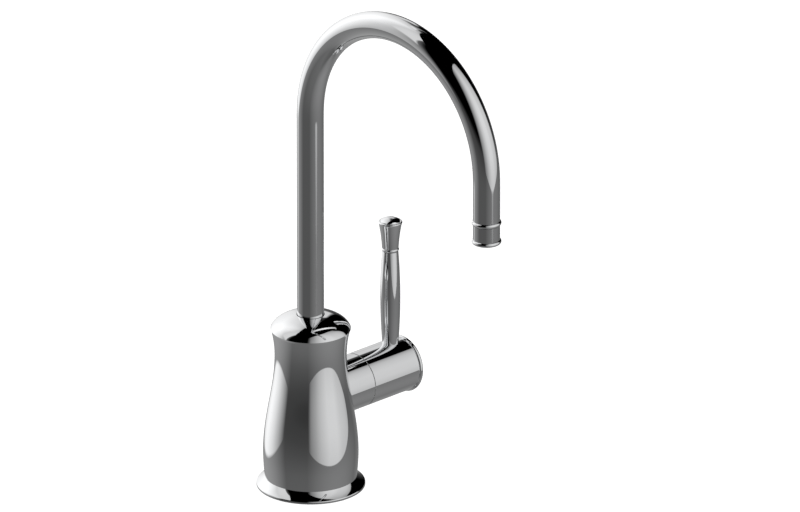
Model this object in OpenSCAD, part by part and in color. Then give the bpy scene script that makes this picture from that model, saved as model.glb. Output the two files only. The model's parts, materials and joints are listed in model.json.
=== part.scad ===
// Drinking water filter tap: a bottle-shaped body with a swivelling swan neck spout
// and a quarter turn valve worked by an upright side lever.
// The origin is on the worktop at the body's axis, the spout points to -Y and the valve to +X.

/* [Base] */
// Diameter of the base flange
flange_d = 56.5; // [54:0.5:64]
// Height of the flange's upright edge
flange_edge_h = 1.5; // [1.2:0.1:3.5]
// Height of the flange where the body stands on it
flange_h = 5.8; // [5:0.1:8]
// Radius of the flange's hollow sloping top
flange_round = 17; // [14:1:60]
// Rounding of the flange's edge
flange_edge_round = 0.6; // [0.3:0.1:1]
// Width of the gasket under the flange
gasket_w = 2; // [1:0.1:3]
// Thickness of the gasket
gasket_t = 1.5; // [1:0.1:1.8]
// Distance from the flange's edge to the gasket
gasket_inset = 2; // [1.5:0.1:2.5]

/* [Body] */
// Largest diameter of the body
belly_d = 49.6; // [48:0.2:52]
// Height of the largest diameter
belly_z = 18.5; // [14:0.5:24]
// Smallest diameter of the neck
neck_d = 37.4; // [36:0.2:40]
// Height of the smallest diameter
neck_z = 71.7; // [69:0.1:75]
// Height of the body's top
body_top_z = 86.3; // [85:0.1:90]
// Radius of the curve below the belly
foot_round = 70; // [50:1:100]
// Radius of the curve above the belly
belly_round = 115; // [90:1:130]
// Radius of the hollow curve below the neck
neck_round = 95; // [45:1:110]
// Radius of the flare above the neck
flare_round = 60; // [45:1:70]
// Least length of the straight flank between the two curves
flank_min = 4; // [2:0.5:8]
// Diameter of the spigot that centres the flange
spigot_d = 41; // [40:0.5:43]
// Wall of the spigot round the hollow underside
cast_wall = 3; // [2:0.1:4]
// Height of the hollow underside's roof
hollow_z = 26; // [20:0.5:30]
// Lift of the casting's underside above the worktop
foot_lift = 1; // [0.5:0.1:1.5]

/* [Inlet and fixing] */
// Core diameter of the M10 x 1 inlet thread
inlet_d = 8.92; // [8:0.01:10]
// Depth of the inlet thread
inlet_len = 14; // [10:0.5:18]
// Wall round the inlet thread
inlet_wall = 4; // [3:0.1:5]
// Core diameter of the M8 fixing stud's thread
stud_d = 6.8; // [6:0.1:8]
// Depth of the fixing stud's thread
stud_len = 14; // [10:0.5:18]
// Wall round the fixing stud's thread
stud_wall = 3.1; // [2.5:0.1:4]
// Distance from the body's axis to the fixing stud
stud_x = 13; // [12:0.1:14]
// Diameter of the cast riser and inlet port
riser_d = 7; // [5:0.1:8]
// Diameter of the drilled way from the valve to the spout
crossway_d = 5.2; // [4:0.1:6]

/* [Valve barrel] */
// Distance from the body's top down to the valve's axis
valve_drop = 38; // [36:0.1:40]
// Diameter of the barrel and the lever's hub
barrel_d = 28.6; // [28:0.1:31]
// Distance from the body's axis to the seam between barrel and hub
seam_x = 32.8; // [31:0.1:36]
// Width of the seam
seam_gap = 0.4; // [0.35:0.01:0.6]
// Wall of the slip washer in the seam
seam_washer_w = 1.2; // [0.8:0.1:1.4]
// Distance from the barrel's outer edge to the slip washer
seam_washer_inset = 0.6; // [0.4:0.1:0.8]
// Thickness of the slip washer
seam_washer_t = 0.33; // [0.25:0.01:0.33]

/* [Valve cartridge] */
// Depth of the cartridge's hexagon below the seam
hex_sunk = 0.55; // [0.2:0.05:1]
// Diameter of the chamber round the cartridge
chamber_d = 20.6; // [19.5:0.1:21.5]
// Diameter of the cartridge's thread
cartridge_thread_d = 23.1; // [22.6:0.1:23.6]
// Length of the cartridge's thread
cartridge_thread_len = 9; // [8.6:0.1:10]
// Outer diameter of the cartridge's skirt
skirt_d = 17.8; // [17.4:0.1:18.4]
// Inner diameter of the cartridge's skirt
skirt_bore = 15; // [14.6:0.1:15.2]
// Length of the seat ring outside the skirt
seal_proud = 2.2; // [1.5:0.1:2.6]
// Thickness of the rubber seat ring
seal_t = 3; // [2.8:0.1:3.4]
// Bore of the rubber seat ring
seal_bore = 8.4; // [7:0.1:9]
// Thickness of each ceramic disc
disc_t = 3; // [2.5:0.1:3.2]
// Inner radius of the ports in the discs
port_r0 = 2; // [1.5:0.1:2.5]
// Outer radius of the ports in the discs
port_r1 = 5.4; // [4.5:0.1:5.6]
// Angle of each port
port_a = 80; // [60:1:84]
// Angle of each window in the cartridge's skirt
window_a = 60; // [40:1:64]
// Width of the key on the fixed disc
disc_key_w = 3; // [2:0.1:4]
// Thickness of the spindle's fork
fork_t = 2.4; // [2:0.1:2.8]
// Width of the spindle's fork
fork_w = 4.4; // [3.6:0.1:5]
// Width of the fork's prongs
prong_w = 2.8; // [2:0.1:3.4]
// Length of the fork's prongs
prong_len = 2; // [1.5:0.1:2.3]
// Inner radius of the fork's prongs and of the stops they turn between
prong_r = 5.9; // [5.7:0.1:6.2]
// Turn of the spindle from shut to open
valve_turn = 90; // [80:1:90]
// Angle left between the fork and each stop
stop_clear_a = 1; // [0.5:0.1:2]
// Space between the fork and the cartridge's roof
fork_room = 1.2; // [0.8:0.1:1.6]
// Thickness of the cartridge's roof up to its shoulder
roof_t = 1.4; // [1:0.1:1.6]
// Width across the flats of the cartridge's hexagon
hex_af = 19; // [17:0.5:20]
// Thickness of the cartridge's hexagon
hex_t = 2.2; // [2:0.1:3]
// Diameter of the cartridge's neck
bush_neck_d = 15; // [14:0.1:16]
// Length of the cartridge's neck
bush_neck_len = 6.5; // [6:0.1:8]

/* [Spindle] */
// Diameter of the spindle
spindle_d = 8; // [7.4:0.1:8.6]
// Width across the flats of the spindle's square drive
drive_af = 5.6; // [5:0.1:5.8]
// Length of the square drive
drive_len = 8; // [7:0.1:9]
// Diameter of the screw that holds the hub
screw_d = 4; // [3:0.5:4]
// Length of the screw under its head
screw_len = 9.5; // [8:0.1:10]
// Diameter of the screw's head
screw_head_d = 7.2; // [6:0.1:7.6]
// Height of the screw's head
screw_head_h = 2.6; // [2:0.1:3]
// Width across the flats of the screw's socket
screw_key_af = 2.5; // [2:0.5:3]
// Depth of the screw's socket
screw_key_depth = 1.7; // [1.2:0.1:1.9]
// Thickness of the spindle's circlip
clip_t = 0.7; // [0.5:0.1:0.9]
// Outer diameter of the circlip
clip_d = 11.2; // [10:0.1:12]
// Depth of the circlip's groove
clip_groove = 0.7; // [0.5:0.1:0.9]
// Width of the circlip's opening
clip_opening = 4; // [3:0.1:5]

/* [Hub and lever] */
// Length of the hub
hub_len = 31.4; // [30.5:0.1:34]
// Wall of the hub round the hollow in its inner end
hub_wall = 2.5; // [2.1:0.1:3.3]
// Thickness of the hub's web between the spindle and the screw's head
hub_web_t = 3; // [2.5:0.1:3.5]
// Width of the hub's rim round the end cap's spigot
end_rim_w = 3.3; // [2.3:0.1:4.3]
// Length of the end cap's spigot
end_spigot_len = 3.4; // [3:0.1:3.6]
// Rise of the bead on the hub's end above the hub
end_bead_proud = 0.9; // [0.7:0.1:1.7]
// Width of the bead on the hub's end
end_bead_w = 2.4; // [2:0.1:3]
// Rise of the end cap's domed face
end_dome_h = 1.6; // [0.8:0.1:2.5]
// Distance from the hub's outer end to the lever's axis
lever_inset = 7.3; // [7:0.1:8.5]
// Largest diameter of the lever's stem
stem_d = 10.42; // [9.6:0.02:11.4]
// Height of the largest diameter above the hub
stem_swell_h = 25.4; // [22:0.1:28]
// Radius of the stem's swelling outline
stem_round = 335; // [300:5:400]
// Depth of the stem's seat in the hub
stem_seat_h = 0.8; // [0.6:0.1:1.2]
// Length of the stem above the hub
stem_len = 51.4; // [46:0.1:60]
// Diameter of the bead at the stem's top
stem_bead_d = 9.1; // [8.8:0.1:10]
// Height of the bead at the stem's top
stem_bead_h = 1.9; // [1.5:0.1:2.4]
// Core diameter of the stem's thread in the hub
stem_screw_d = 6; // [5:0.1:6]
// Length of the stem's thread
stem_screw_len = 8; // [6:0.1:8.4]
// Diameter of the finial's foot
finial_foot_d = 8.7; // [8:0.1:9.4]
// Diameter of the finial's rim
finial_d = 12.6; // [11.6:0.1:14]
// Height from the finial's foot to its rim
finial_h = 14.7; // [12:0.1:18]
// Radius of the finial's hollow flare
finial_round = 90; // [60:1:150]
// Thickness of the finial's rounded rim
finial_rim_t = 1.3; // [1:0.1:1.6]
// Rise of the finial's domed button above the rim's middle
button_h = 1.8; // [1:0.1:2.4]
// Diameter of the domed button
button_d = 10.2; // [8.6:0.1:10.6]
// Diameter of the finial's thread in the stem
finial_screw_d = 4; // [3:0.1:4.4]
// Length of the finial's thread
finial_screw_len = 9; // [7:0.1:12]

/* [Spout] */
// Distance from the body's axis to the outlet's axis
spout_reach = 130; // [100:1:160]
// Height of the arch's centre
arch_z = 207.5; // [200:0.5:260]
// Distance from the arch's centre down to the outlet's lower edge
outlet_drop = 33.9; // [27.5:0.1:57.5]
// Outer diameter of the spout tube
tube_d = 14; // [13.4:0.1:14.6]
// Wall of the spout tube
tube_wall = 1; // [0.8:0.1:1.2]
// Diameter of the spout's tail in the body
tail_d = 17.9; // [17.2:0.1:18.6]
// Length of the tail below its collar
tail_len = 11.5; // [11:0.1:13]
// Wall of the tail's spigot in the tube
tail_spigot_wall = 1.5; // [1.2:0.1:2]
// Length of the tail's spigot in the tube
tail_spigot_len = 10; // [8:0.1:14]
// Diameter of the tail's collar
collar_d = 21.2; // [20.4:0.1:21.4]
// Height of the tail's collar
collar_h = 3.8; // [3:0.1:4.2]
// Outer diameter of the glide ring on the collar
glide_d = 22.2; // [21.8:0.1:22.8]
// Thickness of the glide ring
glide_t = 3; // [2:0.1:3.4]

/* [Dome cap] */
// Diameter of the cap's rim
cap_d = 41.8; // [41.2:0.1:44]
// Height of the cap's rim above the body
cap_rim_h = 1; // [0.6:0.1:1.4]
// Diameter at which the cap's edge curve turns into its crown
cap_shoulder_d = 35; // [28:0.1:37]
// Height of that turn above the body
cap_shoulder_h = 5; // [4.4:0.1:6.8]
// Slope of the cap at that turn
cap_slope = 34; // [28:0.5:38]
// Radius of the cap's crown
cap_crown_round = 23; // [20:1:100]
// Diameter of the cap's thread in the body
cap_thread_d = 28; // [26.6:0.1:29]
// Length of the cap's thread
cap_thread_len = 7.3; // [6:0.1:8]
// Depth of the cap's threaded socket in the body
cap_socket_h = 10.3; // [9.8:0.1:11]

/* [Outlet] */
// Rise of the outlet's two beads above the tube
bead_proud = 0.7; // [0.4:0.1:1.2]
// Height of each bead
bead_h = 2.5; // [2:0.1:3]
// Length of the outlet below the tube
nozzle_len = 12.8; // [11:0.1:16]
// Length of the collar's spigot in the tube
nozzle_spigot_len = 8; // [6:0.1:12]
// Wall of the collar's spigot
nozzle_spigot_wall = 1.4; // [1.2:0.1:2]
// Depth of the aerator housing's thread below the tube's outer wall
aerator_thread_in = 1.1; // [1:0.1:1.2]
// Length of the aerator housing's thread
aerator_thread_len = 2.2; // [1.6:0.1:2.6]
// Wall of the aerator housing's thread round the insert
aerator_thread_wall = 0.7; // [0.5:0.1:0.9]
// Width of the lip under the insert
aerator_lip_w = 0.7; // [0.5:0.1:1.2]
// Thickness of the lip under the insert
aerator_lip_t = 1.2; // [0.8:0.1:1.6]
// Wall of the insert
aerator_wall = 0.9; // [0.7:0.1:1.2]
// Thickness of the insert's floor
aerator_floor = 1.8; // [1:0.1:3]
// Diameter of each hole in the insert
aerator_hole_d = 1; // [0.8:0.1:1.2]
// Spacing of the holes in the insert
aerator_pitch = 1.7; // [1.5:0.1:1.8]
// Thickness of the aerator's washer
aerator_washer_t = 1.2; // [1:0.1:1.6]
// Width of the aerator's washer
aerator_washer_w = 1.8; // [1.2:0.1:2]

/* [Seals] */
// Section diameter of the O-rings on the spout's tail
tail_oring_t = 1.56; // [1.4:0.02:1.8]
// Section diameter of the O-rings on the spindle
spindle_oring_t = 1.1; // [1:0.02:1.3]
// Section diameter of the O-ring on the cartridge
cartridge_oring_t = 1.36; // [1.2:0.02:1.6]
// Section diameter of the O-ring on the end cap
end_oring_t = 1.3; // [1.1:0.02:1.4]

/* [Clearances] */
// Radial clearance of a turning fit
run_clear = 0.05; // [0.02:0.01:0.08]
// Radial gap between the spout and the cap's hole
spout_gap = 0.3; // [0.3:0.01:0.4]
// Play along an axis between parts that turn
float_gap = 0.1; // [0.05:0.01:0.2]
// Gap between the circlip and the cartridge's neck
clip_gap = 0.3; // [0.2:0.01:0.4]
// Room round the hexagon and the screw's head for a tool
tool_room = 0.6; // [0.4:0.05:0.8]
// Gap between the two ceramic discs
disc_gap = 0.05; // [0.03:0.01:0.1]
// Gap between the discs and the wall they turn in
disc_clear = 0.3; // [0.3:0.01:0.35]
// Clearance of a part that is set into a recess
set_clear = 0.05; // [0.03:0.01:0.1]
// Gap between an O-ring and the wall that it seals
seal_clear = 0.02; // [0.01:0.01:0.03]

/* [Hidden] */
$fn = 96;
// Facets of the large circles that the outlines are cut from
outline_fn = 256;
// Overlap of a cutter past the face it opens
over = 1;
// Reach of a clipping square past the outline it trims
beyond = 40;
// Half width of an O-ring's groove as a share of the ring's section
groove_share = 0.6;

chrome = [0.80, 0.82, 0.84];
brass = [0.79, 0.62, 0.32];
steel = [0.66, 0.67, 0.69];
rubber = [0.11, 0.11, 0.12];
ceramic = [0.93, 0.92, 0.88];
nylon = [0.88, 0.89, 0.87];

// Body outline: a straight flank that touches the belly's and the neck's curves,
// which are as large as set, or as large as leaves room for the flank
belly_r = belly_d / 2;
neck_r = neck_d / 2;
belly_to_neck = [belly_r - neck_r, neck_z - belly_z];
round_room = (belly_to_neck * belly_to_neck - pow(flank_min, 2)) / (2 * belly_to_neck[0]);
round_fit = min(1, round_room / (belly_round + neck_round));
belly_curve = round_fit * belly_round;
neck_curve = round_fit * neck_round;
round_sum = belly_curve + neck_curve;
rounds_apart = [round_sum - belly_to_neck[0], belly_to_neck[1]];
flank_a = atan2(rounds_apart[1], rounds_apart[0]) - acos(round_sum / norm(rounds_apart));
flank_r0 = belly_r - belly_curve * (1 - cos(flank_a));
flank_z0 = belly_z + belly_curve * sin(flank_a);
flank_r1 = neck_r + neck_curve * (1 - cos(flank_a));
flank_z1 = neck_z - neck_curve * sin(flank_a);
foot_r = belly_r - foot_round + sqrt(pow(foot_round, 2) - pow(belly_z - flange_h, 2));
body_top_r = neck_r + flare_round - sqrt(pow(flare_round, 2) - pow(body_top_z - neck_z, 2));
spigot_r = spigot_d / 2;
hollow_r = spigot_r - cast_wall;

// Flange
flange_r = flange_d / 2;
flange_slope = atan2(flange_h - flange_edge_h, flange_r - foot_r);
edge_centre = [flange_r - flange_edge_round, flange_edge_h - flange_edge_round];
edge_end = edge_centre + flange_edge_round * [sin(flange_slope), cos(flange_slope)];
gasket_r = flange_r - gasket_inset;

// Spout stack up the body's axis
arch_r = spout_reach / 2;
tube_r = tube_d / 2;
tube_bore_r = tube_r - tube_wall;
socket_r = tail_d / 2 + run_clear;
collar_seat_z = body_top_z - cap_socket_h;
collar_z0 = collar_seat_z + float_gap;
collar_z1 = collar_z0 + collar_h;
glide_z1 = collar_z1 + glide_t;
cap_stop_z = glide_z1 + float_gap;
cap_bore_r = max(glide_d, collar_d) / 2 + run_clear;
tail_z0 = collar_z0 - tail_len;
tail_bore_r = tube_bore_r - tail_spigot_wall;
socket_z = tail_z0 - float_gap;
tail_oring_r = socket_r - seal_clear - tail_oring_t / 2;
tail_oring_zs = [tail_z0 + tail_len / 4, collar_z0 - tail_len / 4];

// Cap outline: the edge curve passes through the rim and touches the crown's curve
cap_r = cap_d / 2;
cap_rim = [cap_r, body_top_z + cap_rim_h];
cap_turn = [cap_shoulder_d / 2, body_top_z + cap_shoulder_h];
cap_normal = [sin(cap_slope), cos(cap_slope)];
rim_to_turn = cap_turn - cap_rim;
cap_edge_round = rim_to_turn * rim_to_turn / (2 * (rim_to_turn * cap_normal));
cap_edge_centre = cap_turn - cap_edge_round * cap_normal;
cap_crown_centre = cap_turn - cap_crown_round * cap_normal;

// Outlet
outlet_z = arch_z - outlet_drop;
nozzle_top_z = outlet_z + nozzle_len;
bead_r = bead_h / 2;
bead_ring_r = tube_r + bead_proud - bead_r;
nozzle_bore_r = tube_bore_r - nozzle_spigot_wall;
aerator_thread_r = tube_r - aerator_thread_in;
aerator_r = aerator_thread_r - aerator_thread_wall;
aerator_mouth_r = aerator_r - aerator_lip_w;
nozzle_split_z = nozzle_top_z - bead_h;
aerator_thread_z1 = nozzle_split_z + aerator_thread_len;
insert_z0 = outlet_z + aerator_lip_t;
insert_z1 = aerator_thread_z1 - aerator_washer_t;

// Valve stack along the barrel's axis, from the hexagon inwards to the seat and outwards to the drive
valve_z = body_top_z - valve_drop;
barrel_r = barrel_d / 2;
hex_x1 = seam_x - hex_sunk;
hex_x0 = hex_x1 - hex_t;
shoulder_x = hex_x0 - cartridge_thread_len;
roof_x = shoulder_x - roof_t;
fork_x1 = roof_x - fork_room;
fork_x0 = fork_x1 - fork_t;
moving_x0 = fork_x0 - disc_t;
fixed_x1 = moving_x0 - disc_gap;
fixed_x0 = fixed_x1 - disc_t;
seat_x = fixed_x0 - seal_t;
bush_end_x = hex_x1 + bush_neck_len;
clip_x0 = bush_end_x + clip_gap;
clip_x1 = clip_x0 + clip_t;
drive_x0 = clip_x1 + clip_t;
drive_x1 = drive_x0 + drive_len;
hex_r = hex_af / 2 / cos(30);
skirt_r = skirt_d / 2;
skirt_bore_r = skirt_bore / 2;
disc_r = skirt_bore_r - disc_clear;
spindle_r = spindle_d / 2;
spindle_bore_r = spindle_r + run_clear;
stop_r = prong_r - disc_clear;
fork_half_a = asin(fork_w / 2 / stop_r);
stop_a = 180 - valve_turn - 2 * fork_half_a - 2 * stop_clear_a;
stop_mid_a = valve_turn / 2 - 90;
spindle_oring_r = spindle_bore_r - seal_clear - spindle_oring_t / 2;
spindle_oring_xs = [shoulder_x + cartridge_thread_len / 4, hex_x0 - cartridge_thread_len / 4];
cartridge_oring_r = cartridge_thread_d / 2 - cartridge_oring_t / 2;
cartridge_oring_x = shoulder_x + cartridge_oring_t;
hex_socket_r = hex_r + tool_room;

// Hub stack along the barrel's axis
hub_hollow_r = barrel_r - hub_wall;
end_spigot_r = barrel_r - end_rim_w;
hub_x0 = seam_x + seam_gap;
hub_x1 = hub_x0 + hub_len;
screw_seat_x = drive_x1 + hub_web_t;
hub_head_r = screw_head_d / 2 + tool_room;
end_recess_x = hub_x1 - end_spigot_len - set_clear;
end_bead_r = end_bead_w / 2;
end_oring_r = end_spigot_r + set_clear - end_oring_t / 2;
end_oring_x = hub_x1 - end_spigot_len / 2;
end_face_x = hub_x1 + end_bead_w;
end_face_r = barrel_r + end_bead_proud - end_bead_r;
end_dome_round = (pow(end_face_r, 2) + pow(end_dome_h, 2)) / (2 * end_dome_h);

// Lever stack up the lever's axis
lever_x = hub_x1 - lever_inset;
hub_top_z = valve_z + barrel_r;
stem_mid_z = hub_top_z + stem_swell_h;
stem_foot_z = hub_top_z - stem_seat_h;
stem_top_z = hub_top_z + stem_len;
stem_foot_r = stem_d / 2 - stem_round + sqrt(pow(stem_round, 2) - pow(stem_swell_h, 2));
finial_z0 = stem_top_z + stem_bead_h;
finial_z1 = finial_z0 + finial_h;
finial_rim_r = finial_rim_t / 2;
button_top_z = finial_z1 + button_h;
button_edge_h = button_h - finial_rim_r / 2;
button_round = (pow(button_d / 2, 2) + pow(button_edge_h, 2)) / (2 * button_edge_h);

// Centre of the circle of radius r through two points, on the right of the way from a to b
function arc_centre(a, b, r) =
    let (chord = b - a, half = norm(chord) / 2)
    (a + b) / 2 + sqrt(r * r - half * half) / (2 * half) * [chord[1], -chord[0]];

// Places a shape that is drawn up the Z axis along the valve's axis
module on_valve_axis() {
    translate([0, 0, valve_z])
        rotate([0, 90, 0])
            children();
}

// Places a shape that is drawn up the Z axis on the lever's axis
module on_lever_axis() {
    translate([lever_x, 0, 0])
        children();
}

// Rod of radius r between two places on its axis
module rod(r, z0, z1) {
    translate([0, 0, z0])
        cylinder(r = r, h = z1 - z0);
}

// Tube between two places on its axis
module sleeve(r_out, r_in, z0, z1) {
    difference() {
        rod(r_out, z0, z1);
        rod(r_in, z0 - over, z1 + over);
    }
}

// O-ring of middle radius r and section diameter t
module oring(r, t, z) {
    translate([0, 0, z])
        rotate_extrude()
            translate([r, 0])
                circle(d = t);
}

// Groove for an O-ring, as a cutter that reaches past the outer radius
module oring_groove(r, t, z, r_out) {
    sleeve(r_out + over, r - t / 2, z - groove_share * t, z + groove_share * t);
}

// Sector of a ring, centred on the X axis
module ring_sector(r_in, r_out, angle, z0, z1) {
    translate([0, 0, z0])
        linear_extrude(z1 - z0)
            intersection() {
                difference() {
                    circle(r = r_out);
                    circle(r = r_in);
                }
                polygon([[0, 0], for (i = [-1, 0, 1]) 2 * r_out * [cos(i * angle / 2), sin(i * angle / 2)]]);
            }
}

// Bar across the axis, with ends rounded to radius r
module bar(width, r, z0, z1) {
    intersection() {
        rod(r, z0, z1);
        translate([-r - over, -width / 2, z0 - over])
            cube([2 * (r + over), width, z1 - z0 + 2 * over]);
    }
}

// Half outline of the body above the flange
module body_outline() {
    intersection() {
        translate([belly_r - foot_round, belly_z])
            circle(r = foot_round, $fn = outline_fn);
        translate([0, flange_h])
            square([beyond, belly_z - flange_h]);
    }
    intersection() {
        translate([belly_r - belly_curve, belly_z])
            circle(r = belly_curve, $fn = outline_fn);
        translate([0, belly_z])
            square([beyond, flank_z0 - belly_z]);
    }
    polygon([[0, flank_z0], [flank_r0, flank_z0], [flank_r1, flank_z1], [0, flank_z1]]);
    difference() {
        translate([0, flank_z1])
            square([neck_r + neck_curve, neck_z - flank_z1]);
        translate([neck_r + neck_curve, neck_z])
            circle(r = neck_curve, $fn = outline_fn);
    }
    difference() {
        translate([0, neck_z])
            square([neck_r + flare_round, body_top_z - neck_z]);
        translate([neck_r + flare_round, neck_z])
            circle(r = flare_round, $fn = outline_fn);
    }
}

// Hollow under the casting, round the inlet's and the stud's bosses
module body_hollow() {
    difference() {
        rod(hollow_r, foot_lift - over, hollow_z);
        rod(inlet_d / 2 + inlet_wall, foot_lift - 2 * over, hollow_z + over);
        translate([-stud_x, 0, 0])
            rod(stud_d / 2 + stud_wall, foot_lift - 2 * over, hollow_z + over);
    }
}

// Drilled way from the valve's chamber up to the spout's socket
module crossway() {
    top = [crossway_d / 2, socket_z + crossway_d / 2];
    bottom = [(seat_x + fork_x0) / 2, valve_z + chamber_d / 4];
    way = bottom - top;
    translate([top[0], 0, top[1]])
        rotate([0, atan2(way[0], way[1]), 0])
            cylinder(d = crossway_d, h = norm(way));
}

module body() {
    color(chrome)
    difference() {
        union() {
            rotate_extrude()
                body_outline();
            rod(spigot_r, foot_lift, flange_h + over);
            on_valve_axis()
                rod(barrel_r, 0, seam_x);
        }
        body_hollow();
        rod(inlet_d / 2, foot_lift - over, foot_lift + inlet_len);
        translate([-stud_x, 0, 0])
            rod(stud_d / 2, foot_lift - over, foot_lift + stud_len);
        rod(riser_d / 2, foot_lift, valve_z);
        on_valve_axis() {
            sphere(d = riser_d);
            rod(riser_d / 2, 0, seat_x + over);
            rod(chamber_d / 2, seat_x, shoulder_x + over);
            rod(cartridge_thread_d / 2, shoulder_x, hex_x0 + over);
            rod(hex_socket_r, hex_x0, seam_x + over);
        }
        crossway();
        rod(socket_r, socket_z, body_top_z + over);
        rod(cap_thread_d / 2, collar_seat_z, body_top_z + over);
    }
}

module base_flange() {
    hollow = arc_centre(edge_end, [foot_r, flange_h], flange_round);
    color(chrome)
    rotate_extrude()
        difference() {
            union() {
                polygon([
                    [spigot_r, 0], [flange_r, 0], [flange_r, edge_centre[1]],
                    edge_end, [foot_r, flange_h], [spigot_r, flange_h]
                ]);
                translate(edge_centre)
                    circle(r = flange_edge_round);
            }
            translate(hollow)
                circle(r = flange_round, $fn = outline_fn);
            translate([gasket_r - gasket_w, -over])
                square([gasket_w, gasket_t + over]);
        }
}

module base_gasket() {
    color(rubber)
        sleeve(gasket_r, gasket_r - gasket_w, 0, gasket_t);
}

// Half outline of the dome cap above the body
module cap_outline() {
    polygon([[0, body_top_z], [body_top_r, body_top_z], cap_rim, [0, cap_rim[1]]]);
    intersection() {
        translate(cap_edge_centre)
            circle(r = cap_edge_round, $fn = outline_fn);
        translate([cap_turn[0], cap_rim[1]])
            square([cap_rim[0] - cap_turn[0], beyond]);
    }
    intersection() {
        translate(cap_crown_centre)
            circle(r = cap_crown_round, $fn = outline_fn);
        translate([0, cap_rim[1]])
            square([cap_turn[0], beyond]);
    }
}

module dome_cap() {
    color(chrome)
    difference() {
        union() {
            rotate_extrude()
                cap_outline();
            rod(cap_thread_d / 2, body_top_z - cap_thread_len, body_top_z + cap_rim_h);
        }
        rod(tube_r + spout_gap, body_top_z - cap_thread_len - over, body_top_z + beyond);
        rod(cap_bore_r, body_top_z - cap_thread_len - over, cap_stop_z);
    }
}

// Bent spout tube of the given section radius, with legs down to the two heights
module swan_neck(r, z_body, z_outlet) {
    rod(r, z_body, arch_z);
    translate([0, -arch_r, arch_z])
        rotate([90, 0, 90])
            rotate_extrude(angle = 180)
                translate([arch_r, 0])
                    circle(r = r);
    translate([0, -spout_reach, 0])
        rod(r, z_outlet, arch_z);
}

module spout_tube() {
    color(chrome)
    difference() {
        swan_neck(tube_r, collar_z1, nozzle_top_z);
        swan_neck(tube_bore_r, collar_z1 - over, nozzle_top_z - over);
    }
}

module spout_tail() {
    color(brass)
    difference() {
        union() {
            rod(tail_d / 2, tail_z0, collar_z0 + over);
            rod(collar_d / 2, collar_z0, collar_z1);
            rod(tube_bore_r, collar_z1 - over, collar_z1 + tail_spigot_len);
        }
        rod(tail_bore_r, tail_z0 - over, collar_z1 + tail_spigot_len + over);
        for (z = tail_oring_zs)
            oring_groove(tail_oring_r, tail_oring_t, z, tail_d / 2);
    }
}

module spout_orings() {
    color(rubber)
    for (z = tail_oring_zs)
        oring(tail_oring_r, tail_oring_t, z);
}

module glide_ring() {
    color(nylon)
        sleeve(glide_d / 2, tube_r + set_clear, collar_z1, glide_z1);
}

// Outlet bead as a ring round the nozzle
module outlet_bead(z) {
    oring(bead_ring_r, bead_h, z);
}

module nozzle_collar() {
    color(chrome)
    translate([0, -spout_reach, 0])
        difference() {
            union() {
                rod(bead_ring_r, nozzle_split_z, nozzle_top_z);
                outlet_bead(nozzle_top_z - bead_r);
                rod(tube_bore_r, nozzle_top_z - over, nozzle_top_z + nozzle_spigot_len);
            }
            rod(nozzle_bore_r, nozzle_split_z - over, nozzle_top_z + nozzle_spigot_len + over);
            rod(aerator_thread_r, nozzle_split_z - over, aerator_thread_z1);
        }
}

module aerator_housing() {
    color(chrome)
    translate([0, -spout_reach, 0])
        difference() {
            union() {
                rod(bead_ring_r, outlet_z, outlet_z + bead_h);
                outlet_bead(outlet_z + bead_r);
                rod(tube_r, outlet_z + bead_r, nozzle_split_z);
                rod(aerator_thread_r, nozzle_split_z - over, aerator_thread_z1);
            }
            rod(aerator_mouth_r, outlet_z - over, insert_z0 + over);
            rod(aerator_r, insert_z0, aerator_thread_z1 + over);
        }
}

// Places for the insert's holes: a hexagonal pattern of two rings round a middle hole
module hole_places() {
    children();
    for (a = [0:60:300]) {
        for (steps = [[1, 0], [2, 0], [1, 1]])
            rotate(a)
                translate(aerator_pitch * [steps[0] + steps[1] / 2, steps[1] * sin(60)])
                    children();
    }
}

module aerator_insert() {
    color(nylon)
    translate([0, -spout_reach, 0])
        difference() {
            rod(aerator_r, insert_z0, insert_z1);
            rod(aerator_r - aerator_wall, insert_z0 + aerator_floor, insert_z1 + over);
            hole_places()
                rod(aerator_hole_d / 2, insert_z0 - over, insert_z1);
        }
}

module aerator_washer() {
    color(rubber)
    translate([0, -spout_reach, 0])
        sleeve(aerator_r, aerator_r - aerator_washer_w, insert_z1, aerator_thread_z1);
}

module cartridge_body() {
    color(brass)
    on_valve_axis()
        difference() {
            union() {
                difference() {
                    rod(skirt_r, seat_x + seal_proud, shoulder_x + over);
                    rod(skirt_bore_r, seat_x, roof_x);
                }
                for (turn = [0, 180])
                    rotate(turn + stop_mid_a)
                        ring_sector(stop_r, skirt_r, stop_a, fork_x0 + disc_clear, roof_x + over);
                rod(cartridge_thread_d / 2, shoulder_x, hex_x0);
                rod(bush_neck_d / 2, hex_x0, bush_end_x);
                translate([0, 0, hex_x0])
                    cylinder(r = hex_r, h = hex_t, $fn = 6);
            }
            rod(spindle_bore_r, roof_x - over, bush_end_x + over);
            for (turn = [0, 180]) {
                rotate(turn + valve_turn / 2)
                    ring_sector(
                        skirt_bore_r - disc_clear, skirt_r + over,
                        window_a, fork_x0, roof_x - disc_clear
                    );
                rotate(turn + 90)
                    ring_sector(
                        skirt_bore_r - disc_clear, skirt_r + over,
                        2 * asin(disc_key_w / skirt_bore), seat_x, fixed_x1
                    );
            }
            oring_groove(cartridge_oring_r, cartridge_oring_t, cartridge_oring_x, cartridge_thread_d / 2);
        }
}

module cartridge_oring() {
    color(rubber)
    on_valve_axis()
        oring(cartridge_oring_r, cartridge_oring_t, cartridge_oring_x);
}

module cartridge_seal() {
    color(rubber)
    on_valve_axis()
        sleeve(skirt_bore_r, seal_bore / 2, seat_x, fixed_x0);
}

// Two opposite ports through a disc
module disc_ports(x0, x1) {
    for (turn = [0, 180])
        rotate(turn)
            ring_sector(port_r0, port_r1, port_a, x0 - over, x1 + over);
}

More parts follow.
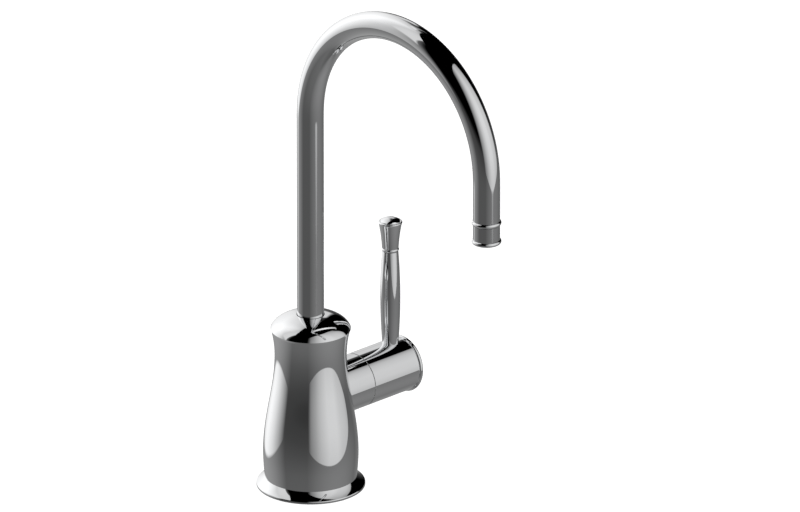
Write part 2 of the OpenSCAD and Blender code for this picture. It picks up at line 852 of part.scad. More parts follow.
module fixed_disc() {
    color(ceramic)
    on_valve_axis()
        difference() {
            union() {
                rod(disc_r, fixed_x0, fixed_x1);
                for (turn = [90, 270])
                    rotate(turn)
                        ring_sector(
                            disc_r - over, skirt_r - set_clear,
                            2 * asin(disc_key_w / skirt_bore) - stop_clear_a, fixed_x0, fixed_x1
                        );
            }
            disc_ports(fixed_x0, fixed_x1);
        }
}

module moving_disc() {
    color(ceramic)
    on_valve_axis()
        difference() {
            rod(disc_r, moving_x0, fork_x0);
            rotate(90)
                disc_ports(moving_x0, fork_x0);
            difference() {
                bar(prong_w + 2 * set_clear, disc_r + over, fork_x0 - prong_len - set_clear, fork_x0 + over);
                rod(prong_r - set_clear, moving_x0 - over, fork_x0 + 2 * over);
            }
        }
}

module spindle() {
    color(steel)
    on_valve_axis()
        difference() {
            union() {
                bar(fork_w, disc_r, fork_x0, fork_x1);
                difference() {
                    bar(prong_w, disc_r, fork_x0 - prong_len, fork_x0 + over);
                    rod(prong_r, fork_x0 - prong_len - over, fork_x0);
                }
                rod(spindle_r, fork_x0, drive_x0);
                translate([-drive_af / 2, -drive_af / 2, drive_x0 - over])
                    cube([drive_af, drive_af, drive_len + over]);
            }
            for (x = spindle_oring_xs)
                oring_groove(spindle_oring_r, spindle_oring_t, x, spindle_r);
            sleeve(spindle_r + over, spindle_r - clip_groove, clip_x0, clip_x1);
            rod(screw_d / 2, screw_seat_x - screw_len - over, drive_x1 + over);
        }
}

module spindle_orings() {
    color(rubber)
    on_valve_axis()
        for (x = spindle_oring_xs)
            oring(spindle_oring_r, spindle_oring_t, x);
}

module spindle_clip() {
    color(steel)
    on_valve_axis()
        difference() {
            sleeve(clip_d / 2, spindle_r - clip_groove, clip_x0, clip_x1);
            translate([0, -clip_opening / 2, clip_x0 - over])
                cube([clip_d, clip_opening, clip_t + 2 * over]);
        }
}

module seam_washer() {
    color(nylon)
    on_valve_axis()
        sleeve(
            barrel_r - seam_washer_inset, barrel_r - seam_washer_inset - seam_washer_w,
            seam_x, seam_x + seam_washer_t
        );
}

module hub_bush() {
    color(nylon)
    on_valve_axis()
        sleeve(hub_hollow_r, bush_neck_d / 2 + run_clear, hub_x0 + float_gap, bush_end_x - float_gap);
}

module handle_hub() {
    color(chrome)
    difference() {
        on_valve_axis()
            difference() {
                rod(barrel_r, hub_x0, hub_x1);
                rod(hub_hollow_r, hub_x0 - over, drive_x0);
                translate([-drive_af / 2, -drive_af / 2, drive_x0 - over])
                    cube([drive_af, drive_af, drive_len + over]);
                rod(screw_d / 2, drive_x1 - over, screw_seat_x + over);
                rod(hub_head_r, screw_seat_x, hub_x1 + over);
                rod(end_spigot_r + set_clear, end_recess_x, hub_x1 + over);
            }
        on_lever_axis() {
            rod(stem_foot_r, stem_foot_z, hub_top_z + over);
            rod(stem_screw_d / 2, stem_foot_z - stem_screw_len - set_clear, hub_top_z);
        }
    }
}

module hub_screw() {
    color(steel)
    on_valve_axis()
        difference() {
            union() {
                rod(screw_d / 2, screw_seat_x - screw_len, screw_seat_x + over);
                rod(screw_head_d / 2, screw_seat_x, screw_seat_x + screw_head_h);
            }
            translate([0, 0, screw_seat_x + screw_head_h - screw_key_depth])
                cylinder(r = screw_key_af / 2 / cos(30), h = screw_head_h, $fn = 6);
        }
}

module hub_end_cap() {
    color(chrome)
    on_valve_axis()
        difference() {
            union() {
                rod(end_spigot_r, hub_x1 - end_spigot_len, hub_x1 + over);
                rod(end_face_r, hub_x1, end_face_x);
                oring(end_face_r, end_bead_w, hub_x1 + end_bead_r);
                intersection() {
                    rod(end_face_r, hub_x1 + end_bead_r, end_face_x + end_dome_h + over);
                    translate([0, 0, end_face_x + end_dome_h - end_dome_round])
                        sphere(r = end_dome_round);
                }
            }
            oring_groove(end_oring_r, end_oring_t, end_oring_x, end_spigot_r);
        }
}

module end_cap_oring() {
    color(rubber)
    on_valve_axis()
        oring(end_oring_r, end_oring_t, end_oring_x);
}

module lever_stem() {
    color(chrome)
    on_lever_axis()
        difference() {
            union() {
                rotate_extrude()
                    intersection() {
                        translate([stem_d / 2 - stem_round, stem_mid_z])
                            circle(r = stem_round, $fn = outline_fn);
                        translate([0, stem_foot_z])
                            square([stem_d, stem_top_z - stem_foot_z]);
                    }
                rod(stem_bead_d / 2 - stem_bead_h / 2, stem_top_z - over, finial_z0);
                oring(stem_bead_d / 2 - stem_bead_h / 2, stem_bead_h, stem_top_z + stem_bead_h / 2);
                rod(stem_screw_d / 2, stem_foot_z - stem_screw_len, stem_foot_z + over);
            }
            rod(finial_screw_d / 2, finial_z0 - finial_screw_len - set_clear, finial_z0 + over);
        }
}

// Half outline of the finial
module finial_outline() {
    foot = [finial_foot_d / 2, finial_z0];
    rim = [finial_d / 2, finial_z1];
    difference() {
        polygon([[0, finial_z0], foot, rim, [0, finial_z1]]);
        translate(arc_centre(foot, rim, finial_round))
            circle(r = finial_round, $fn = outline_fn);
        translate([finial_d / 2 - finial_rim_r, finial_z1 - finial_rim_r])
            square(finial_rim_t);
    }
    translate([finial_d / 2 - finial_rim_r, finial_z1 - finial_rim_r])
        circle(r = finial_rim_r);
    intersection() {
        translate([0, button_top_z - button_round])
            circle(r = button_round, $fn = outline_fn);
        translate([0, finial_z1 - finial_rim_t])
            square([button_d / 2, beyond]);
    }
}

module lever_finial() {
    color(chrome)
    on_lever_axis() {
        rotate_extrude()
            finial_outline();
        rod(finial_screw_d / 2, finial_z0 - finial_screw_len, finial_z0 + over);
    }
}

body();
base_flange();
base_gasket();
dome_cap();
spout_tube();
spout_tail();
spout_orings();
glide_ring();
nozzle_collar();
aerator_housing();
aerator_insert();
aerator_washer();
cartridge_body();
cartridge_oring();
cartridge_seal();
fixed_disc();
seam_washer();
moving_disc();
spindle();
spindle_orings();
spindle_clip();
hub_bush();
handle_hub();
hub_screw();
hub_end_cap();
end_cap_oring();
lever_stem();
lever_finial();
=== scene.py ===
"""Looks of a chromed filter water tap: camera, studio light, materials and three finer pieces."""

import json
import math

import bmesh
import bpy
from mathutils import Matrix, Vector


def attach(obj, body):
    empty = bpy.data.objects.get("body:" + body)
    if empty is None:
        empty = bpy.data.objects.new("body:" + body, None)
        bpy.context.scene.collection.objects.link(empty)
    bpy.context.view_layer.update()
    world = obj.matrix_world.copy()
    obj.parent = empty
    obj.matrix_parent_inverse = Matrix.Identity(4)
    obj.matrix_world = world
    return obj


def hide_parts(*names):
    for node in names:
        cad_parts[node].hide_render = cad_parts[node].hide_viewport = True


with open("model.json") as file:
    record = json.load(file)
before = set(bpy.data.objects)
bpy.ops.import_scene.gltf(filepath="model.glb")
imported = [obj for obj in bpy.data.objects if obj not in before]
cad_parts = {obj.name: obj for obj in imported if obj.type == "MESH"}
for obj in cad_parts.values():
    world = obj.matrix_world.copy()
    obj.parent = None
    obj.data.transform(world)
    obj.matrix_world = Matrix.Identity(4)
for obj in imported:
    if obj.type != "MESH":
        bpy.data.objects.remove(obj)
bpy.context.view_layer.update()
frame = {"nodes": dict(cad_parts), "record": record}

MM_PER_M = 1000
UP = Vector((0.0, 0.0, 1.0))


class Tree:
    """Short calls that add nodes to a node tree and join them."""

    def __init__(self, tree):
        self.tree = tree
        tree.nodes.clear()

    def add(self, kind, **settings):
        node = self.tree.nodes.new(kind)
        for name, value in settings.items():
            setattr(node, name, value)
        return node

    def put(self, socket, value):
        """Joins a socket to an input, or sets the input to a plain value."""
        if isinstance(value, bpy.types.NodeSocket):
            self.tree.links.new(value, socket)
        else:
            socket.default_value = value

    def math(self, operation, *values):
        node = self.add("ShaderNodeMath", operation=operation)
        for socket, value in zip(node.inputs, values):
            self.put(socket, value)
        return node.outputs[0]

    def span(self, value, low, high, to_low=0.0, to_high=1.0, smooth=True):
        """Takes a value from one range to another, held at both ends."""
        node = self.add("ShaderNodeMapRange", interpolation_type="SMOOTHSTEP" if smooth else "LINEAR")
        ends = {"From Min": low, "From Max": high, "To Min": to_low, "To Max": to_high}
        for name, number in ends.items():
            node.inputs[name].default_value = number
        self.put(node.inputs["Value"], value)
        return node.outputs["Result"]

    def curve(self, value, stops):
        """Level by straight runs between (place, level) stops, held at both ends."""
        low, high = stops[0][0], stops[-1][0]
        node = self.add("ShaderNodeValToRGB")
        ramp = node.color_ramp
        while len(ramp.elements) < len(stops):
            ramp.elements.new(0.5)
        for element, (place, level) in zip(ramp.elements, stops):
            element.position = (place - low) / (high - low)
            element.color = (level, level, level, 1.0)
        self.put(node.inputs["Fac"], self.span(value, low, high, smooth=False))
        return node.outputs["Color"]

    def dot(self, vector, axis):
        node = self.add("ShaderNodeVectorMath", operation="DOT_PRODUCT")
        self.put(node.inputs[0], vector)
        node.inputs[1].default_value = axis
        return node.outputs["Value"]


# Camera: a long lens, close to a parallel view. Lengths are in metres.

VIEW_AZIMUTH = math.radians(-44.07)
VIEW_ELEVATION = math.radians(22.62)
FRAME_WIDTH = 0.41466
AIM_RIGHT = 0.046195
AIM_UP = 0.11767
LENS = 1000.0
SENSOR = 36.0
CAMERA_CLIP = (0.1, 60.0)

view_right = Vector((math.cos(VIEW_AZIMUTH), math.sin(VIEW_AZIMUTH), 0.0))
view_front = Vector((math.sin(VIEW_AZIMUTH), -math.cos(VIEW_AZIMUTH), 0.0))
view_back = view_front * math.cos(VIEW_ELEVATION) + UP * math.sin(VIEW_ELEVATION)
view_up = view_back.cross(view_right)


def place_at(thing, place, *axes):
    """Puts an object at a place, with its own X, Y and Z along the axes."""
    thing.matrix_world = Matrix.Translation(place) @ Matrix(axes).transposed().to_4x4()


def make_camera():
    camera = bpy.data.objects.new("camera", bpy.data.cameras.new("camera"))
    bpy.context.scene.collection.objects.link(camera)
    camera.data.sensor_width = SENSOR
    camera.data.lens = LENS
    camera.data.clip_start, camera.data.clip_end = CAMERA_CLIP
    aim = view_right * AIM_RIGHT + view_up * AIM_UP
    place_at(camera, aim + view_back * (FRAME_WIDTH * LENS / SENSOR), view_right, view_up, view_back)
    bpy.context.scene.camera = camera


# Studio light, by direction alone: tall soft panels on both sides, a small one behind and a grey floor.
# Bearings are in degrees to the right, from straight towards the camera. A panel stands upright, and the
# stops across it and up it are (place, level) in units of its distance. Levels are what the chrome gives
# back, so the light is brighter by what the chrome takes.

CHROME_GAIN = 0.84
LEFT_PANEL = {
    "azimuth": -131.0, "low": -0.42, "soft": 0.03, "level": 1.1,
    "across": [
        (-1.9, 0.0), (-1.25, 0.1), (-0.9, 0.70), (-0.4, 0.85), (-0.1, 1.0), (0.1, 0.95),
        (0.45, 0.74), (0.75, 0.53), (1.1, 0.34), (1.5, 0.18), (1.75, 0.09), (1.95, 0.03), (2.2, 0.0),
    ],
    "up": [
        (-0.5, 0.77), (0.0, 0.98), (0.6, 1.0), (1.0, 0.85),
        (1.8, 0.68), (2.6, 0.53), (3.1, 0.42), (3.25, 0.0),
    ],
}
UPPER_PANEL = {
    "azimuth": -131.0, "low": 0.5, "soft": 0.3, "level": 0.64,
    "across": [(-0.6, 0.0), (0.2, 0.9), (0.9, 1.0), (1.5, 1.0), (1.65, 0.0)],
    "up": [(0.0, 1.0), (1.6, 1.0), (2.6, 0.95), (3.1, 0.9), (3.25, 0.0)],
}
RIGHT_PANEL = {
    "azimuth": 52.0, "low": -0.415, "soft": 0.012, "level": 1.0,
    "across": [
        (-1.8, 0.0), (-1.5, 0.09), (-1.25, 0.23), (-0.8, 0.37), (-0.5, 0.52), (-0.1, 0.68),
        (0.3, 0.70), (0.6, 0.62), (1.2, 0.58), (1.6, 0.5), (1.95, 0.42), (2.1, 0.0),
    ],
    "up": [(-0.5, 0.76), (0.0, 0.94), (0.5, 0.98), (1.0, 0.92), (1.8, 0.8), (2.95, 0.62), (3.1, 0.0)],
}
BACK_PANEL = {
    "azimuth": 180.0, "low": 0.2, "soft": 0.08, "level": 0.6,
    "across": [(-0.22, 0.0), (-0.16, 1.0), (0.2, 1.0), (0.3, 0.0)],
    "up": [(0.0, 1.0), (0.6, 1.0), (0.68, 0.0)],
}

# A panel ends where its bearing is almost square to the direction, by the cosine between them
PANEL_FADE = (0.05, 0.15)

# The floor's level by the sine of the elevation, and its (bearing, level) glows below the panels, which come
# in over a range of that sine and of the cosine to their bearing
FLOOR_STOPS = [
    (-1.0, 0.094), (-0.87, 0.13), (-0.64, 0.113), (-0.5, 0.096), (-0.34, 0.075), (-0.17, 0.05),
    (-0.09, 0.043), (0.0, 0.017), (0.09, 0.002), (0.14, 0.0),
]
FLOOR_GLOWS = [(-146.0, 0.187), (72.6, 0.093)]
GLOW_RISE = (-0.1, -0.3)
GLOW_FACING = (0.15, 1.0)
LEAST_LEVEL_SQUARE = 1e-6


def bearing(azimuth):
    """Level direction at a bearing from the camera's side."""
    return view_front * math.cos(azimuth) + view_right * math.sin(azimuth)


def make_world():
    world = bpy.data.worlds.new("studio")
    bpy.context.scene.world = world
    world.use_nodes = True
    t = Tree(world.node_tree)
    way = t.add("ShaderNodeTexCoord").outputs["Generated"]
    rise = t.dot(way, UP)
    level_square = t.math("SUBTRACT", 1.0, t.math("MULTIPLY", rise, rise))
    level_part = t.math("SQRT", t.math("MAXIMUM", level_square, LEAST_LEVEL_SQUARE))
    slope = t.math("DIVIDE", rise, level_part)

    def facing(azimuth):
        """Cosine and sine of the angle, seen from above, between a direction and a bearing."""
        a = math.radians(azimuth)
        return [t.math("DIVIDE", t.dot(way, bearing(b)), level_part) for b in (a, a + math.pi / 2)]

    def panel(azimuth, low, soft, level, across, up):
        cosine, sine = facing(azimuth)
        depth = t.math("MAXIMUM", cosine, PANEL_FADE[0])
        height = t.math("DIVIDE", slope, depth)
        shine = t.math("MULTIPLY", level, t.curve(t.math("DIVIDE", sine, depth), across))
        shine = t.math("MULTIPLY", shine, t.curve(height, up))
        shine = t.math("MULTIPLY", shine, t.span(cosine, *PANEL_FADE))
        return t.math("MULTIPLY", shine, t.span(height, low - soft, low + soft))

    light = t.curve(rise, FLOOR_STOPS)
    below = t.span(rise, *GLOW_RISE)
    for azimuth, level in FLOOR_GLOWS:
        glow = t.span(facing(azimuth)[0], *GLOW_FACING, 0.0, level, smooth=False)
        light = t.math("ADD", light, t.math("MULTIPLY", glow, below))
    for settings in (LEFT_PANEL, UPPER_PANEL, RIGHT_PANEL, BACK_PANEL):
        light = t.math("MAXIMUM", light, panel(**settings))

    studio = t.add("ShaderNodeBackground")
    t.put(studio.inputs["Color"], light)
    studio.inputs["Strength"].default_value = 1.0 / CHROME_GAIN
    backdrop = t.add("ShaderNodeBackground")
    backdrop.inputs["Color"].default_value = (1.0, 1.0, 1.0, 1.0)
    seen = t.add("ShaderNodeMixShader")
    t.put(seen.inputs["Fac"], t.add("ShaderNodeLightPath").outputs["Is Camera Ray"])
    t.put(seen.inputs[1], studio.outputs[0])
    t.put(seen.inputs[2], backdrop.outputs[0])
    t.put(t.add("ShaderNodeOutputWorld").inputs["Surface"], seen.outputs[0])


# Strip light: near the tap and high behind its right, so that only the dome shows it, as a thin line

STRIP_AIM = Vector((0.0, 0.0, 0.092))
STRIP_AZIMUTH = math.radians(129.0)
STRIP_ELEVATION = math.radians(65.0)
STRIP_DISTANCE = 0.32
STRIP_SIZE = (0.024, 0.25)
STRIP_HALF_SPREAD = math.radians(34.0)
STRIP_LEVEL = 0.95


def make_strip():
    level_way = bearing(STRIP_AZIMUTH)
    way = level_way * math.cos(STRIP_ELEVATION) + UP * math.sin(STRIP_ELEVATION)
    lamp = bpy.data.lights.new("strip", "AREA")
    lamp.shape = "RECTANGLE"
    lamp.size, lamp.size_y = STRIP_SIZE
    lamp.spread = 2 * STRIP_HALF_SPREAD
    focus = math.tan(STRIP_HALF_SPREAD) / (math.tan(STRIP_HALF_SPREAD) - STRIP_HALF_SPREAD)
    lamp.energy = STRIP_LEVEL / CHROME_GAIN * math.pi * lamp.size * lamp.size_y / focus
    strip = bpy.data.objects.new("strip", lamp)
    bpy.context.scene.collection.objects.link(strip)
    side = way.cross(level_way).normalized()
    place_at(strip, STRIP_AIM + way * STRIP_DISTANCE, side, way.cross(side), way)
    strip.visible_camera = False


# Floor: pale, and left out of what the chrome mirrors, because the studio light has its own

FLOOR_HALF = 6.0
FLOOR_DROP = 0.0002
FLOOR_GLOW = 0.84
FLOOR_COLOUR = (0.9, 0.9, 0.9, 1.0)


def make_floor():
    mesh = bpy.data.meshes.new("floor")
    corners = [(x * FLOOR_HALF, y * FLOOR_HALF, 0.0) for x, y in ((-1, -1), (1, -1), (1, 1), (-1, 1))]
    mesh.from_pydata(corners, [], [(0, 1, 2, 3)])
    floor = bpy.data.objects.new("floor", mesh)
    bpy.context.scene.collection.objects.link(floor)
    material = bpy.data.materials.new("floor")
    material.use_nodes = True
    t = Tree(material.node_tree)
    paint = t.add("ShaderNodeBsdfDiffuse")
    paint.inputs["Color"].default_value = FLOOR_COLOUR
    glow = t.add("ShaderNodeEmission")
    glow.inputs["Strength"].default_value = FLOOR_GLOW
    both = t.add("ShaderNodeAddShader")
    t.put(both.inputs[0], paint.outputs[0])
    t.put(both.inputs[1], glow.outputs[0])
    t.put(t.add("ShaderNodeOutputMaterial").inputs["Surface"], both.outputs[0])
    mesh.materials.append(material)
    floor.visible_glossy = False
    floor.visible_diffuse = False
    floor.location.z = -FLOOR_DROP


# Materials. A noise is (scale, detail), tints run from dark to light, a bump is (depth in metres, strength),
# and roughness runs between two values over a range of the noise.

GRAIN_RANGE = (0.2, 0.8)
GRAINED = {
    # Machined brass with turning marks
    "brass": {
        "metallic": 1.0, "grain": (1400.0, 3.0), "patches": (120.0, 2.0),
        "tints": ((0.70, 0.52, 0.24), (0.82, 0.65, 0.36)),
        "rough": (0.2, 0.42), "relief": (1e-5, 0.5),
    },
    # Satin stainless steel with a fine grain
    "steel": {
        "metallic": 1.0, "grain": (2200.0, 3.0), "patches": (150.0, 2.0),
        "tints": ((0.58, 0.59, 0.61), (0.68, 0.69, 0.70)),
        "rough": (0.22, 0.4), "relief": (6e-6, 0.5),
    },
    # Black seal rubber with a moulded grain and a little bloom
    "rubber": {
        "metallic": 0.0, "grain": (1600.0, 4.0), "patches": (160.0, 3.0),
        "tints": ((0.012, 0.012, 0.013), (0.03, 0.03, 0.031)),
        "rough": (0.55, 0.8), "relief": (2e-5, 0.6),
    },
    # White moulded nylon with a fine spark texture
    "nylon": {
        "metallic": 0.0, "grain": (1900.0, 3.0), "patches": (220.0, 2.0),
        "tints": ((0.74, 0.745, 0.73), (0.84, 0.845, 0.83)),
        "rough": (0.4, 0.58), "relief": (1.2e-5, 0.5),
    },
}
CHROME_HAZE = (55.0, 3.0)
CHROME_FINE = (900.0, 4.0)
CHROME_TINTS = ((0.815, 0.822, 0.832), (0.855, 0.86, 0.866))
CHROME_HAZE_ROUGH = (0.35, 0.7, 0.012, 0.035)
CHROME_FINE_ROUGH = (0.3, 0.8, 0.0, 0.012)
CHROME_BUMP = (5e-7, 0.25)
CERAMIC_SPECKLE = (2600.0, 3.0)
CERAMIC_SHEEN = (400.0, 2.0)
CERAMIC_TINTS = ((0.80, 0.79, 0.74), (0.90, 0.89, 0.85))
CERAMIC_ROUGH = (0.3, 0.7, 0.16, 0.28)


def noise(t, where, scale, detail):
    node = t.add("ShaderNodeTexNoise")
    t.put(node.inputs["Vector"], where)
    node.inputs["Scale"].default_value = scale
    node.inputs["Detail"].default_value = detail
    return node.outputs["Fac"]


def start_material(name, metallic):
    """A material with its shader joined up, its tree, and the place on the piece."""
    material = bpy.data.materials.new(name)
    material.use_nodes = True
    t = Tree(material.node_tree)
    shader = t.add("ShaderNodeBsdfPrincipled")
    shader.inputs["Metallic"].default_value = metallic
    t.put(t.add("ShaderNodeOutputMaterial").inputs["Surface"], shader.outputs[0])
    return material, t, shader, t.add("ShaderNodeTexCoord").outputs["Object"]


def tint(t, shader, factor, tints):
    mix = t.add("ShaderNodeMix", data_type="RGBA")
    t.put(mix.inputs["Factor"], factor)
    for name, colour in zip("AB", tints):
        mix.inputs[name].default_value = (*colour, 1.0)
    t.put(shader.inputs["Base Color"], mix.outputs["Result"])


def bump(t, shader, height, depth, strength):
    node = t.add("ShaderNodeBump")
    node.inputs["Strength"].default_value = strength
    node.inputs["Distance"].default_value = depth
    t.put(node.inputs["Height"], height)
    t.put(shader.inputs["Normal"], node.outputs["Normal"])


def make_grained(name, metallic, grain, patches, tints, rough, relief):
    """Tinted in patches, with a fine grain that is both relief and change of gloss."""
    material, t, shader, where = start_material(name, metallic)
    height = noise(t, where, *grain)
    tint(t, shader, noise(t, where, *patches), tints)
    t.put(shader.inputs["Roughness"], t.span(height, *GRAIN_RANGE, *rough))
    bump(t, shader, height, *relief)
    return material


def make_chrome():
    """Bright plating: a mirror with faint wiping haze and hairlines too fine to bend what it shows."""
    material, t, shader, where = start_material("chrome", 1.0)
    haze = noise(t, where, *CHROME_HAZE)
    fine = noise(t, where, *CHROME_FINE)
    tint(t, shader, haze, CHROME_TINTS)
    rough = t.math("ADD", t.span(haze, *CHROME_HAZE_ROUGH), t.span(fine, *CHROME_FINE_ROUGH))
    t.put(shader.inputs["Roughness"], rough)
    bump(t, shader, fine, *CHROME_BUMP)
    return material


def make_ceramic():
    """Lapped off-white valve ceramic with a faint speckle."""
    material, t, shader, where = start_material("ceramic", 0.0)
    tint(t, shader, noise(t, where, *CERAMIC_SPECKLE), CERAMIC_TINTS)
    t.put(shader.inputs["Roughness"], t.span(noise(t, where, *CERAMIC_SHEEN), *CERAMIC_ROUGH))
    return material


MATERIALS = {name: make_grained(name, **look) for name, look in GRAINED.items()}
MATERIALS["chrome"] = make_chrome()
MATERIALS["ceramic"] = make_ceramic()


def dress_solids():
    slots = {part["node"]: part["material_slot"] for part in frame["record"]["subparts"]}
    for name, solid in frame["nodes"].items():
        solid.data.materials.clear()
        solid.data.materials.append(MATERIALS[slots[name]])


# Mesh helpers. Points, radii and heights are in millimetres from here on.

SHARP_ANGLE = math.radians(30)


def round_turn(sides):
    return [2 * math.pi * k / sides for k in range(sides)]


def loft(rings, closed):
    """Points of rings in one list, and the faces between one ring and the next."""
    size = len(rings[0])
    points = [p for ring in rings for p in ring]
    pairs = [(i, i + 1) for i in range(len(rings) - 1)] + ([(len(rings) - 1, 0)] if closed else [])
    faces = [
        (i * size + k, i * size + (k + 1) % size, j * size + (k + 1) % size, j * size + k)
        for i, j in pairs for k in range(size)
    ]
    return points, faces


def mesh_solid(name, points, faces, turn=Matrix()):
    """Closed solid from points that are placed by a matrix, with its faces looking outward."""
    mesh = bpy.data.meshes.new(name)
    mesh.from_pydata([turn @ Vector(p) / MM_PER_M for p in points], [], faces)
    shape = bmesh.new()
    shape.from_mesh(mesh)
    bmesh.ops.recalc_face_normals(shape, faces=shape.faces)
    shape.to_mesh(mesh)
    shape.free()
    solid = bpy.data.objects.new(name, mesh)
    bpy.context.scene.collection.objects.link(solid)
    return solid


def turned_solid(name, profile, sides, turn=Matrix()):
    """Solid turned about Z from a (radius, height) profile, with flat ends, then placed."""
    angles = round_turn(sides)
    rings = [
        [(radius * math.cos(a), radius * math.sin(a), height) for a in angles]
        for radius, height in profile
    ]
    points, faces = loft(rings, closed=False)
    faces += [list(range(sides)), list(range(len(points) - sides, len(points)))]
    return mesh_solid(name, points, faces, turn)


def combine(solid, tools):
    """Joins tools to a solid or cuts them out of it, and leaves only the result."""
    for operation, tool in tools:
        modifier = solid.modifiers.new(tool.name, "BOOLEAN")
        modifier.solver = "EXACT"
        modifier.operation = operation
        modifier.object = tool
    bpy.context.view_layer.update()
    result = bpy.data.meshes.new_from_object(solid.evaluated_get(bpy.context.evaluated_depsgraph_get()))
    solid.modifiers.clear()
    solid.data = result
    for _, tool in tools:
        bpy.data.objects.remove(tool)


def finish_piece(piece, body, slot, *nodes):
    """Smooths a piece, gives it its material, and lets it ride on a body in place of CAD nodes."""
    mesh = piece.data
    mesh.polygons.foreach_set("use_smooth", [True] * len(mesh.polygons))
    mesh.set_sharp_from_angle(angle=SHARP_ANGLE)
    mesh.materials.clear()
    mesh.materials.append(MATERIALS[slot])
    mesh.update()
    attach(piece, body)
    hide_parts(*nodes)


# Casting: its outline is a slope in degrees at each height, eased from one to the next, without corners

BODY_SLOPES = [
    (5.2, -4.8), (9.0, -4.4), (14.0, -3.0), (18.5, 0.0), (24.0, 3.3), (30.0, 6.0), (36.0, 8.3),
    (42.0, 9.6), (48.0, 9.95), (54.0, 9.3), (60.0, 6.8), (66.0, 3.8), (72.0, 0.2), (78.0, -5.6),
    (84.0, -11.8), (86.3, -14.0),
]
BELLY_R = 24.8
RING_STEP = 0.9
BODY_SIDES = 256
BORE_SIDES = 96

# Profiles of the casting's inside, and of what is joined to it or drilled out of it
SOCKET = [(9.0, 64.5), (9.0, 76.0), (14.0, 76.0)]
UNDERSIDE = [
    (20.5, 1.0), (17.5, 1.0), (17.5, 26.0), (8.46, 26.0), (8.46, 1.0),
    (4.46, 1.0), (4.46, 15.0), (3.5, 15.0), (3.5, 47.7),
]
BARREL = [(14.3, 8.0), (14.3, 32.65), (14.15, 32.8)]
CHAMBER = [
    (3.5, -1.3), (3.5, 7.0), (10.3, 7.0), (10.3, 21.05),
    (11.55, 21.05), (11.55, 30.05), (11.6, 30.05), (11.6, 33.8),
]
STUD_BOSS = [(6.5, 1.05), (6.5, 27.0)]
STUD_HOLE = [(3.4, 0.0), (3.4, 15.0)]
STUD_AXIS = Matrix.Translation((-13.0, 0.0, 0.0))
VALVE_AXIS = Matrix.Translation((0.0, 0.0, 48.3)) @ Matrix.Rotation(math.pi / 2, 4, "Y")
CROSSWAY_R = 2.6
CROSSWAY_TOP = Vector((2.6, 0.0, 67.1))
CROSSWAY_END = Vector((11.5, 0.0, 53.45))

# A little turn of each tool keeps its edges off the casting's, so that the mesh comes out closed
TOOL_TWIST = Matrix.Rotation(math.radians(0.4), 4, "Z")


def eased(stops, place):
    """Value at a place on a smooth curve through (place, value) stops."""
    i = max(k for k in range(len(stops) - 1) if k == 0 or stops[k][0] <= place)

    def tangent(k):
        low, high = stops[max(k - 1, 0)], stops[min(k + 1, len(stops) - 1)]
        return (high[1] - low[1]) / (high[0] - low[0])

    (x0, y0), (x1, y1) = stops[i], stops[i + 1]
    run = x1 - x0
    u = (place - x0) / run
    bend0, bend1 = tangent(i) * run, tangent(i + 1) * run
    return y0 + u * (bend0 + u * (3 * (y1 - y0) - 2 * bend0 - bend1 + u * (2 * (y0 - y1) + bend0 + bend1)))


def body_outline():
    """(radius, height) points up the body, from its foot on the flange to its top under the cap."""
    low, high = BODY_SLOPES[0][0], BODY_SLOPES[-1][0]
    count = math.ceil((high - low) / RING_STEP)
    heights = [low + (high - low) * i / count for i in range(count + 1)]
    radii = [0.0]
    for z0, z1 in zip(heights, heights[1:]):
        radii.append(radii[-1] - (z1 - z0) * math.tan(math.radians(eased(BODY_SLOPES, (z0 + z1) / 2))))
    shift = BELLY_R - max(radii)
    return [(r + shift, z) for r, z in zip(radii, heights)]


def make_body():
    outline = body_outline()
    inside_top = (SOCKET[-1][0], outline[-1][1])
    foot = (UNDERSIDE[0][0], outline[0][1])
    profile = [*SOCKET, inside_top, *reversed(outline), foot, *UNDERSIDE]
    casting = turned_solid("body_casting", profile, BODY_SIDES)
    way = CROSSWAY_END - CROSSWAY_TOP
    crossway = [(CROSSWAY_R, 0.0), (CROSSWAY_R, way.length)]
    crossway_axis = Matrix.Translation(CROSSWAY_TOP) @ Matrix.Rotation(math.atan2(way.x, way.z), 4, "Y")
    combine(casting, [
        ("UNION", turned_solid("barrel", BARREL, BODY_SIDES, VALVE_AXIS @ TOOL_TWIST)),
        ("UNION", turned_solid("stud_boss", STUD_BOSS, BORE_SIDES, STUD_AXIS @ TOOL_TWIST)),
        ("DIFFERENCE", turned_solid("chamber", CHAMBER, BORE_SIDES, VALVE_AXIS @ TOOL_TWIST)),
        ("DIFFERENCE", turned_solid("stud_hole", STUD_HOLE, BORE_SIDES, STUD_AXIS @ TOOL_TWIST)),
        ("DIFFERENCE", turned_solid("crossway", crossway, BORE_SIDES, crossway_axis @ TOOL_TWIST)),
    ])
    finish_piece(casting, "tap_body", "chrome", "body")


# Hub's end cap: a bead round a shallow dome

CAP_SPIGOT = [(11.0, 61.2), (11.0, 62.12), (9.75, 62.12), (9.75, 63.68), (11.0, 63.68), (11.0, 64.6)]
CAP_FACE_R = 14.0
CAP_BEAD_X = 65.8
CAP_BEAD_R = 1.2
CAP_TOP = 68.6
CAP_DOME_R = 62.05
CAP_SIDES = 192
CAP_RINGS = 24


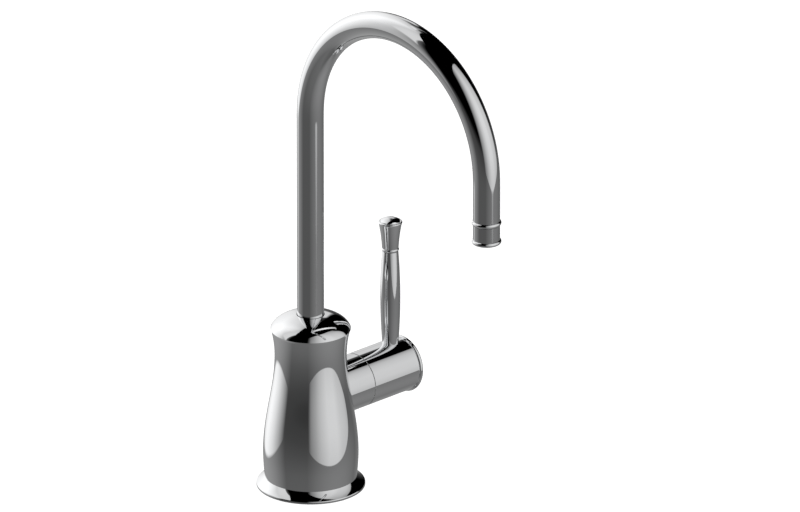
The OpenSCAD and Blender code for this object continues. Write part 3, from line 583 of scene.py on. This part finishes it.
def make_end_cap():
    """The end cap with even rings round its middle, where the solid's mesh would mirror a dot."""
    turns = [math.pi * k / CAP_RINGS for k in range(CAP_RINGS + 1)]
    bead = [
        (CAP_FACE_R + CAP_BEAD_R * math.sin(a), CAP_BEAD_X - CAP_BEAD_R * math.cos(a))
        for a in turns
    ]
    radii = [CAP_FACE_R * (1 - k / CAP_RINGS) for k in range(1, CAP_RINGS)]
    dome = [(r, CAP_TOP - CAP_DOME_R + math.sqrt(CAP_DOME_R ** 2 - r ** 2)) for r in radii]
    cap = turned_solid("domed_end_cap", CAP_SPIGOT + bead + dome, CAP_SIDES, VALVE_AXIS)
    finish_piece(cap, "lever", "chrome", "hub_end_cap")


# Spout: one bent tube whose bends ease in and out, as a bending former leaves them

TUBE_START = 79.9
ARCH_CENTRE = 207.5
OUTLET_TOP = 186.4
SPOUT_REACH = 130.0
TUBE_R = 7.0
TUBE_BORE_R = 6.0
TUBE_STEP = 1.2
TUBE_SIDES = 96
BEND_EASE = 9.0
REACH_ROUNDS = 3


def spout_path():
    """Places (y, z, heading from upright) along a path up, through half a circle and down."""
    radius = SPOUT_REACH / 2
    for _ in range(REACH_ROUNDS):
        turn_from = ARCH_CENTRE - TUBE_START
        turn_to = turn_from + math.pi * radius
        total = turn_to + ARCH_CENTRE - OUTLET_TOP
        count = math.ceil(total / TUBE_STEP)
        pitch = total / count

        def heading_sum(s):
            """Sum, as far along as s, of a heading that grows evenly round the bend."""
            if s <= turn_from:
                return 0.0
            if s >= turn_to:
                return math.pi * (s - turn_to) + (turn_to - turn_from) ** 2 / (2 * radius)
            return (s - turn_from) ** 2 / (2 * radius)

        def heading(s):
            """Mean of that heading over one ease length."""
            return (heading_sum(s + BEND_EASE / 2) - heading_sum(s - BEND_EASE / 2)) / BEND_EASE

        y, z, path = 0.0, TUBE_START, []
        for i in range(count + 1):
            path.append((y, z, heading(i * pitch)))
            middle = heading((i + 0.5) * pitch)
            y -= math.sin(middle) * pitch
            z += math.cos(middle) * pitch
        radius *= SPOUT_REACH / -path[-1][0]
    return path


def make_spout():
    path = spout_path()
    turns = round_turn(TUBE_SIDES)

    def ring(place, radius):
        y, z, heading = place
        out_y, out_z = math.cos(heading), math.sin(heading)
        spokes = [(radius * math.cos(a), radius * math.sin(a)) for a in turns]
        return [(side, y + out * out_y, z + out * out_z) for side, out in spokes]

    outside = [ring(place, TUBE_R) for place in path]
    bore = [ring(place, TUBE_BORE_R) for place in reversed(path)]
    tube = mesh_solid("bent_spout_tube", *loft(outside + bore, closed=True))
    finish_piece(tube, "spout", "chrome", "spout_tube")


make_camera()
make_world()
make_strip()
make_floor()
dress_solids()
make_body()
make_end_cap()
make_spout()

bpy.context.scene.view_settings.view_transform = "Standard"
